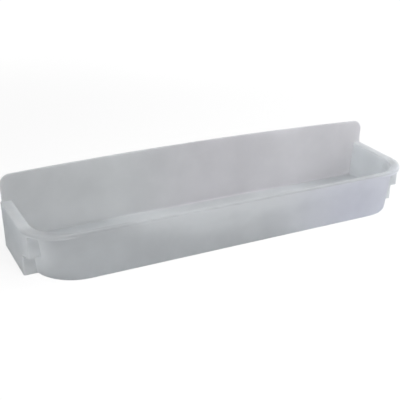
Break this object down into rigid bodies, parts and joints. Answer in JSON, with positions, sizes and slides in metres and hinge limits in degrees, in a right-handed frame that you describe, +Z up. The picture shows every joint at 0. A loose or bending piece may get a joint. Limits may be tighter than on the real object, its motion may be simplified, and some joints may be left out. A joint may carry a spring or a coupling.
{
  "type": "fridge door shelf",
  "caption": "Long moulded door shelf for a fridge: an open tray with rounded front corners, a lipped rim, hollow stepped wings at its ends, a raised floor and a taller back wall with a bowed top edge.",
  "frame": {"origin": "middle of the shelf's box, on the level underside that it stands on", "axes": "+X along the shelf, +Y towards the back wall that lies against the door, +Z up"},
  "size_m": [0.45, 0.106, 0.0832],
  "materials": {
    "frosted_plastic": "milky, slightly see-through moulded plastic, satin, with polished rounded edges"
  },
  "bodies": {
    "root": {"door_shelf": "frosted_plastic"}
  },
  "joints": []
}
